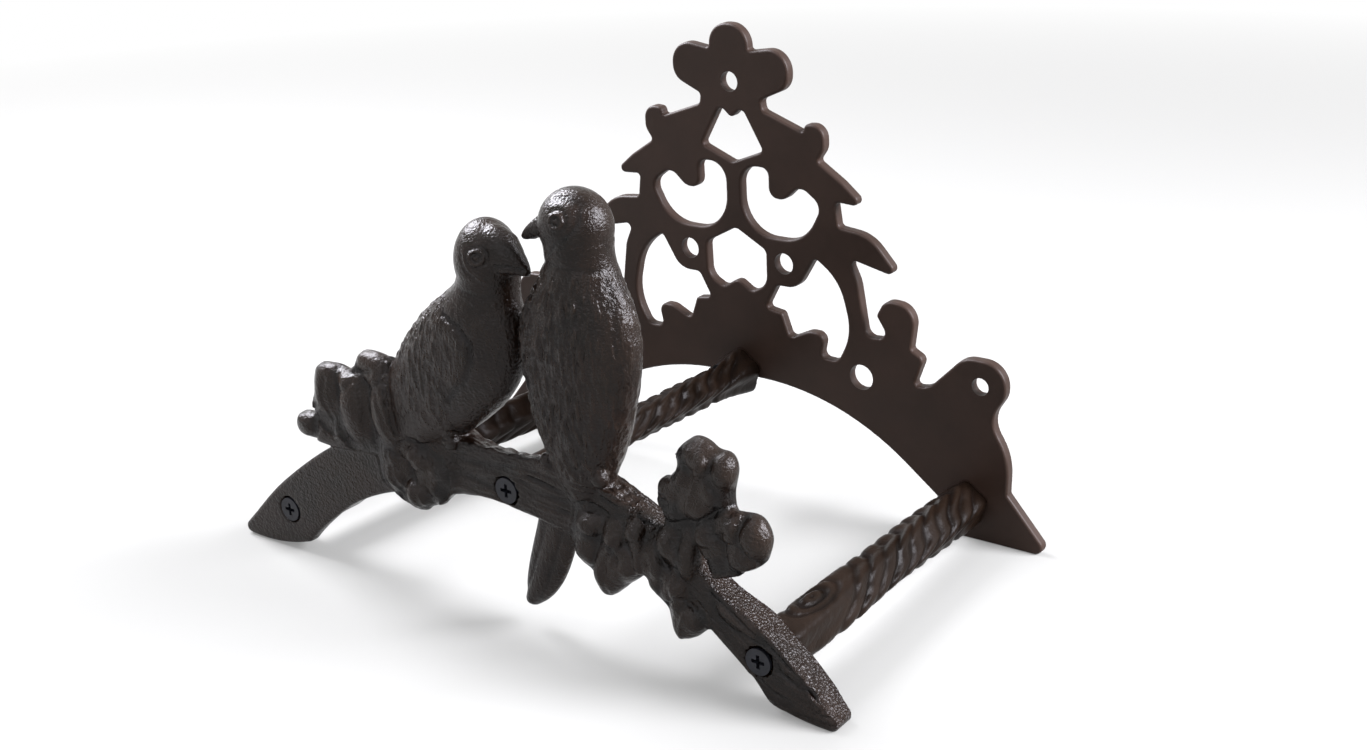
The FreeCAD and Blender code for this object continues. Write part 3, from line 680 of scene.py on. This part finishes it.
def featherRelief(look, places, isRight, isLeft, rightAcross):
    # short upright strokes on the bodies, none on the heads
    x, y, h = places.T
    wing = alongCurve(look["wingEdge"], h)
    feathers = np.where(isRight, np.clip((look["rightFeatherTop"] - h) / 3, 0, 1), 0.0)
    feathers *= np.clip((0.85 - rightAcross) / 0.6, 0.4, 1)
    onLeft = np.where(isLeft, np.clip((look["leftFeatherTop"] - h) / 3, 0, 1), 0.0)
    feathers += onLeft * np.clip((wing - x) / 3.0, 0.3, 1) * np.clip((h - 62) / 10, 0.2, 1)
    strokes = grainNoise(x / 1.25 + 40, y / 1.6, h / 5.5 + 9)
    strength = np.where(isRight, *look["strokeDepth"])
    return feathers * np.clip(strokes - 0.1, -0.12, 0.4) * strength, feathers


def leafRelief(look, places):
    # rounded lobes, a hollow where two meet, a soft rib down the middle of each, and the veins
    x, y, h = places.T
    nearest = np.full(len(x), 9.0)
    second = np.full(len(x), 9.0)
    rib = np.zeros(len(x))
    dome = np.zeros(len(x))
    for lobeX, lobeH, halfWidth, halfLength, lean in look["lobes"]:
        turn = math.radians(lean)
        across = (x - lobeX) * math.cos(turn) - (h - lobeH) * math.sin(turn)
        along = (x - lobeX) * math.sin(turn) + (h - lobeH) * math.cos(turn)
        reach = np.hypot(across / halfWidth, along / halfLength)
        closer = reach < nearest
        second = np.where(closer, nearest, np.minimum(second, reach))
        rib = np.where(closer, np.exp(-((across / 0.9) ** 2)), rib)
        nearest = np.where(closer, reach, nearest)
        dome = np.maximum(dome, (1 - reach ** 2 / 1.3) * min(halfWidth / 5.0, 1.2))
    hollow = np.exp(-(((second - nearest) / 0.3) ** 2)) * np.clip((2.1 - second) * 2, 0, 1)
    relief = dome * look["lobeRise"] - 0.6 - hollow * look["creaseDepth"]
    relief += rib * look["ribDepth"] + lineRelief(look["leafLines"], x, h, 1.1) * look["veinShare"]
    relief += grainNoise(x / 4.0 + 7, y / 4.0, h / 4.4) * look["leafGrainDepth"]
    return relief, nearest < look["leafEdge"]


def barkRelief(look, places, isBark, across, onFace):
    # ridges that run with the branch, strongest right of the middle
    x, y, h = places.T
    bark = np.where(isBark, np.clip((x + 62) / 30, 0.08, 1.0), 0.0)
    ridges = bark * ridgeNoise(x / 16.0 + 3, across / 2.3, y / 40.0, 1.5) * look["barkDepth"]
    cuts = np.where(isBark, lineRelief(look["barkLines"], x, h), 0.0)
    return (ridges + cuts) * onFace, bark


def upperSideRelief(look, places, normals, isBark):
    # right of the birds the upper side was left as the sand mould made it; further left it is bark
    x, y, h = places.T
    isSand = isBark & (x > look["sandFrom"])
    grain = np.where(isSand, np.clip(1.2 - np.abs(normals[:, 1]) * 1.6, 0, 1), 0.0)
    sand = grain * grainNoise(x / 0.9, y / 0.9, h / 0.9) * look["sandDepth"]
    isTop = isBark & (x > look["topBarkFrom"]) & (x < look["sandFrom"])
    onTop = np.where(isTop, np.clip(normals[:, 2] * 1.6 - 0.5, 0, 1), 0.0)
    rough = onTop * ridgeNoise(x / 6.0, y / 2.6, h / 4.0 + 5, 1.6) * look["topBarkDepth"]
    return sand, rough, grain


def tailRelief(look, places, arch, isLeaf, onFace):
    # quills that run down the tail, under the branch
    x, h = places[:, 0], places[:, 2]
    centre = alongCurve(look["tail"], h)
    halfWidth = look["tailHalfWidth"]
    isTail = (h < arch - 0.5) & (np.abs(x - centre) < halfWidth + 1) & (x < look["tailRight"]) & ~isLeaf
    quills = np.abs(np.cos((x - centre) / halfWidth * math.pi * 1.2))
    return np.where(isTail, (quills ** 0.5 - 0.8) * look["quillDepth"] * onFace, 0.0), isTail


def branchRelief(look, places, normals):
    x, y, h = places.T
    top = alongCurve(look["topEdge"], x)
    arch = alongCurve(look["arch"], x)
    across = (h - arch) / np.maximum(top - arch, 6.0) * 20.0
    rightAcross, rightNear = birdFit(look["rightBird"], places)
    leftNear = birdFit(look["leftBird"], places)[1]
    edge = look["birdEdge"]
    isNearer = (rightNear < leftNear + 0.1) | (h > look["overLeftHead"])
    isRight = (h > look["rightFoot"]) & (rightNear < edge) & isNearer
    isLeft = (h > look["leftFoot"]) & (leftNear < edge) & ~isRight
    isBird = isRight | isLeft
    inBranch = (h < top + 1.2) & (h > arch - 1.2) & ~isBird
    onFace = np.clip(-normals[:, 1] * 2, 0, 1)
    notBack = np.clip(0.7 - normals[:, 1] * 2, 0, 1)

    relief = headRelief(look, places, isBird, onFace)
    strokes, feathers = featherRelief(look, places, isRight, isLeft, rightAcross)
    relief += strokes
    leaf, nearLeaf = leafRelief(look, places)
    isLeaf = nearLeaf & ~isBird & (~inBranch | (y < branchFront - 0.5))
    relief += np.where(isLeaf, leaf * notBack, 0.0)
    isBark = inBranch & ~isLeaf
    barkShape, bark = barkRelief(look, places, isBark, across, onFace)
    relief += barkShape
    sand, rough, grain = upperSideRelief(look, places, normals, isBark)
    relief += sand
    relief += rough
    quills, isTail = tailRelief(look, places, arch, isLeaf, onFace)
    relief += quills
    masks = {
        "featherMask": feathers + np.where(isTail, 0.5, 0.0),
        "barkMask": bark,
        "grainMask": grain,
        "barkAlong": x / 9.0,
        "barkAcross": across / 1.1,
    }
    return relief, masks


def markRelief(piece, relief, masks):
    # how far a place lies below or above the skin, for painted shade in the hollows and for worn paint with
    # painted highlight on the ridges
    masks["paintedShadeMask"] = np.clip(-relief / 0.8, 0, 1)
    masks["ridgeWearAndHighlightMask"] = np.clip(relief / 0.5, 0, 1)
    for name, values in masks.items():
        setMask(piece, name, values)


def carvePiece(piece, nodeName, look, keep, findRelief):
    places, normals = readSurface(piece)
    relief, masks = findRelief(look, places, normals)
    pushSurface(piece, nodeName, normals, relief)
    thinPiece(piece, nodeName, keep)
    places, normals = readSurface(piece)
    relief, masks = findRelief(look, places, normals)
    markRelief(piece, relief, masks)


def thinPiece(piece, nodeName, keep):
    # flat stretches give up triangles, carved ones keep them
    count = sum(len(p.vertices) - 2 for p in piece.data.polygons)
    if count <= keep:
        return
    thin = piece.modifiers.new("thin", "DECIMATE")
    thin.ratio = keep / count
    takeModifiers(piece)
    setPlaces(piece, nodeName, getPlaces(piece))


def smoothVerts(work, verts, steps):
    axes = {"use_axis_x": True, "use_axis_y": True, "use_axis_z": True}
    for _ in range(steps):
        bmesh.ops.smooth_vert(work, verts=verts, factor=0.5, **axes)


def nearerBird(look, places):
    return np.minimum(birdFit(look["rightBird"], places)[1], birdFit(look["leftBird"], places)[1])


def roundLeaves(piece, look):
    # the mould left the leaves fuller and softer than the branch
    places = readSurface(piece)[0]
    x, y, h = places.T
    near = np.full(len(x), 9.0)
    for lobeX, lobeH, halfWidth, halfLength, _ in look["lobes"]:
        reach = np.hypot((x - lobeX) / (halfWidth + 2), (h - lobeH) / (halfLength + 2))
        near = np.minimum(near, reach)
    chosen = (near < 1.25) & (y < branchBack - 2) & (nearerBird(look, places) > 1.1)
    work = bmesh.new()
    work.from_mesh(piece.data)
    work.verts.ensure_lookup_table()
    leafVerts = [work.verts[i] for i in np.flatnonzero(chosen)]
    crownX, crownH = look["crownFrom"][0] * mm, (look["crownFrom"][1] - topHoleHeight) * mm
    smoothVerts(work, leafVerts, look["leafSoftening"])
    crown = [v for v in leafVerts if v.co.x < crownX and v.co.z > crownH]
    smoothVerts(work, crown, look["crownSoftening"])
    work.to_mesh(piece.data)
    work.free()


def slopeTop(piece, look):
    # between the birds the branch's upper edge falls away to the back
    places = readSurface(piece)[0]
    x, y, h = places.T
    top = alongCurve(look["topEdge"], x)
    clear = np.clip((nearerBird(look, places) - 1.05) / 0.3, 0, 1)
    between = np.clip((x + 22) / 14, 0, 1) * np.clip((40 - x) / 8, 0, 1)
    inward = np.clip((y - branchFront - 1) / 10.5, 0, 1)
    fall = look["topFall"] * between * clear * inward * np.clip(1 - (top - h) / 9.0, 0, 1)
    down = np.tile(np.array([0.0, 0.0, -1.0]), (len(x), 1))
    pushSurface(piece, "front_branch", down, fall)


def makeBranch(look):
    piece = sculptBase("front_branch", "branch_casting", look["voxel"], look["blendSteps"])
    roundLeaves(piece, look)
    slopeTop(piece, look)
    carvePiece(piece, "front_branch", look, look["keepTriangles"], branchRelief)
    finishPiece(piece, "front_branch", castingPaintMaterial)


makeBranch(branchLook)
print("branch carved")


# the three bark arms, each with slanting ridges and a knot near the branch
armShape = {
    "voxel": 0.6,
    "blendSteps": 2,
    "keepTriangles": 60000,
    "wall": -4.0,         # y where an arm leaves the plate
    "length": 138.5,
    # how far a ridge runs along the arm as it goes round it, in degrees and mm
    "ridgeRun": [
        (-180, -14), (-140, -6), (-100, 6), (-60, 14), (-30, 14), (-8, 10), (5, 5), (20, 1.5), (35, 0),
        (50, -1.5), (64, -4), (76, -7.5), (96, -13), (120, -14.5), (180, -14),
    ],
    "valleyWidth": 2.2,
    "fineDepth": 0.16,
}
# valleys and knots lie at their distance from the plate in mm, and a knot at its angle in degrees
thickValleys = [7, 17, 26, 36, 46, 56, 66, 77, 88, 99]
thinValleys = [14, 23, 31, 40, 49, 57, 66, 75, 83, 92, 101, 109, 118, 127]
armLook = {
    "left_arm": {
        "piece": "left_bark_arm", "rear": (-103.8, 5.8), "front": (-109.8, 12.8), "side": -1,
        "depth": 0.4, "valleys": thickValleys, "knot": (115.0, 95.0), "belly": 0.5,
    },
    "middle_arm": {
        "piece": "middle_bark_arm", "rear": (0.4, 40.4), "front": (6.4, 48.4), "side": 1,
        "depth": 0.75, "valleys": thinValleys, "knot": (132.0, 0.0), "belly": 0.0,
    },
    "right_arm": {
        "piece": "right_bark_arm", "rear": (103.8, 5.8), "front": (109.8, 12.8), "side": 1,
        "depth": 0.9, "valleys": thickValleys, "knot": (115.0, 95.0), "belly": 0.5,
    },
}


def turnGap(angle, middle):
    gap = angle - math.radians(middle)
    return np.arctan2(np.sin(gap), np.cos(gap))


def armRelief(look, places, normals):
    x, y, h = places.T
    along = armShape["wall"] - y
    part = along / armShape["length"]
    centreX = look["rear"][0] + (look["front"][0] - look["rear"][0]) * part
    centreH = look["rear"][1] + (look["front"][1] - look["rear"][1]) * part
    angle = np.arctan2(h - centreH, (x - centreX) * look["side"])
    onSide = np.clip(1.3 - np.abs(normals[:, 1]) * 1.6, 0, 1)
    warp = grainNoise(np.cos(angle) * 1.2, np.sin(angle) * 1.2, along / 22.0) * 2.4
    swirl = along + warp - alongCurve(armShape["ridgeRun"], np.degrees(angle))
    ridges = np.full(len(x), 0.35)
    for i, valley in enumerate(look["valleys"]):
        deep = 1.0 if i % 2 == 0 else 0.6
        ridges -= deep * np.exp(-(((swirl - valley) / armShape["valleyWidth"]) ** 2))
    knotAlong, knotAngle = look["knot"]
    knot = np.hypot((along - knotAlong) / 14.0, turnGap(angle, knotAngle) / 0.68)
    inKnot = np.clip((1.25 - knot) / 0.25, 0, 1)
    rings = 0.35 - np.abs(np.cos((knot * 1.7 + 0.1) * math.pi)) ** 3
    ridges = ridges * (1 - inKnot) + rings * inKnot
    fine = grainNoise(swirl / 2.6, angle * 1.4, along / 30.0) * armShape["fineDepth"]
    ends = np.clip((along - 2) / 7, 0, 1) * np.clip((armShape["length"] - along) / 3, 0, 1)
    relief = (ridges + fine) * look["depth"] * ends
    belly = np.exp(-(((along - 100) / 20) ** 2))
    relief += look["belly"] * belly * np.exp(-((turnGap(angle, -40.0) / 0.9) ** 2))
    blank = np.zeros(len(x))
    masks = {
        "featherMask": blank,
        "grainMask": blank,
        "barkMask": onSide * 0.5,
        "barkAlong": swirl * 0.5,
        "barkAcross": angle * 1.5,
    }
    return relief * onSide, masks


for nodeName, look in armLook.items():
    arm = sculptBase(nodeName, look["piece"], armShape["voxel"], armShape["blendSteps"])
    carvePiece(arm, nodeName, look, armShape["keepTriangles"], armRelief)
    finishPiece(arm, nodeName, armPaintMaterial)
print("arms carved")


# table, backdrop light and lamps
tableLook = {
    "heightAtWall": -168.8,
    "slope": 0.033,
    "size": 6.0,
    "colour": (0.258, 0.260, 0.246, 1),
    "roughness": 0.9,
    "lift": 0.22,        # how far the camera sees it as plain white close by
    "fadeFrom": 0.35,    # metres from the wall, where it starts to melt into the backdrop
    "fadeTo": 1.3,
}


def linkSeenRays(nodes, links):
    # camera, mirror and see-through rays all find the plain white backdrop
    path = nodes.new("ShaderNodeLightPath")
    rays = [path.outputs[name] for name in ("Is Camera Ray", "Is Glossy Ray", "Is Transmission Ray")]
    return foldMath(nodes, links, "MAXIMUM", rays)


def makeTable(look):
    work = bmesh.new()
    bmesh.ops.create_grid(work, x_segments=2, y_segments=2, size=look["size"] / 2)
    mesh = bpy.data.meshes.new("table")
    work.to_mesh(mesh)
    work.free()
    table = bpy.data.objects.new("table", mesh)
    scene.collection.objects.link(table)
    height = Matrix.Translation((0, 0, look["heightAtWall"] * mm))
    table.matrix_world = height @ Matrix.Rotation(-math.atan(look["slope"]), 4, "X")
    material, nodes, links, shader = startMaterial("whiteTable", 0.0)
    shader.inputs["Base Color"].default_value = look["colour"]
    shader.inputs["Roughness"].default_value = look["roughness"]
    glow = nodes.new("ShaderNodeEmission")
    glow.inputs["Color"].default_value = (1, 1, 1, 1)
    glow.inputs["Strength"].default_value = 1.0
    coords = nodes.new("ShaderNodeTexCoord")
    away = nodes.new("ShaderNodeVectorMath")
    away.operation = "LENGTH"
    links.new(coords.outputs["Object"], away.inputs[0])
    distances = (look["fadeFrom"], look["fadeTo"])
    fade = mapRange(nodes, links, away.outputs["Value"], distances, (look["lift"], 1.0))
    seen = mathNode(nodes, links, "MULTIPLY", linkSeenRays(nodes, links), fade)
    outlet = nodes["Material Output"].inputs["Surface"]
    mixShaders(nodes, links, seen, shader.outputs["BSDF"], glow.outputs["Emission"], outlet)
    mesh.materials.append(material)


makeTable(tableLook)

worldLook = {"colour": (0.97, 0.97, 1.0, 1), "strength": 0.45, "seen": 1.0}


def makeWorld(look):
    world = bpy.data.worlds.new("studio")
    world.use_nodes = True
    nodes, links = world.node_tree.nodes, world.node_tree.links
    plain = nodes["Background"]
    plain.inputs["Color"].default_value = look["colour"]
    plain.inputs["Strength"].default_value = look["strength"]
    white = nodes.new("ShaderNodeBackground")
    white.inputs["Color"].default_value = (1, 1, 1, 1)
    white.inputs["Strength"].default_value = look["seen"]
    seen = linkSeenRays(nodes, links)
    outlet = nodes["World Output"].inputs["Surface"]
    mixShaders(nodes, links, seen, plain.outputs["Background"], white.outputs["Background"], outlet)
    scene.world = world


makeWorld(worldLook)

lampAim = (0.0, -0.09, -0.09)     # the middle of the part
lampColour = (0.94, 0.93, 1.0)
lampLook = {
    "leftLamp": {"from": (-0.74, 0.065, 0.669), "reach": 1.2, "size": 0.68, "power": 50.0},
    "rightLamp": {"from": (0.82, 0.28, 0.49), "reach": 1.2, "size": 0.78, "power": 60.0},
    "frontLamp": {"from": (0.2, -0.9, 0.45), "reach": 1.8, "size": 1.5, "power": 7.0},
    "overheadLamp": {"from": (-0.35, -0.15, 0.93), "reach": 1.6, "size": 1.3, "power": 12.0},
}


def makeLamps(lamps):
    for name, look in lamps.items():
        data = bpy.data.lights.new(name, "AREA")
        data.shape = "DISK"
        data.size = look["size"]
        data.energy = look["power"]
        data.color = lampColour
        lamp = bpy.data.objects.new(name, data)
        way = Vector(look["from"]).normalized()
        lamp.location = Vector(lampAim) + way * look["reach"]
        lamp.rotation_euler = way.to_track_quat("Z", "Y").to_euler()
        scene.collection.objects.link(lamp)


makeLamps(lampLook)
print("stage lit")
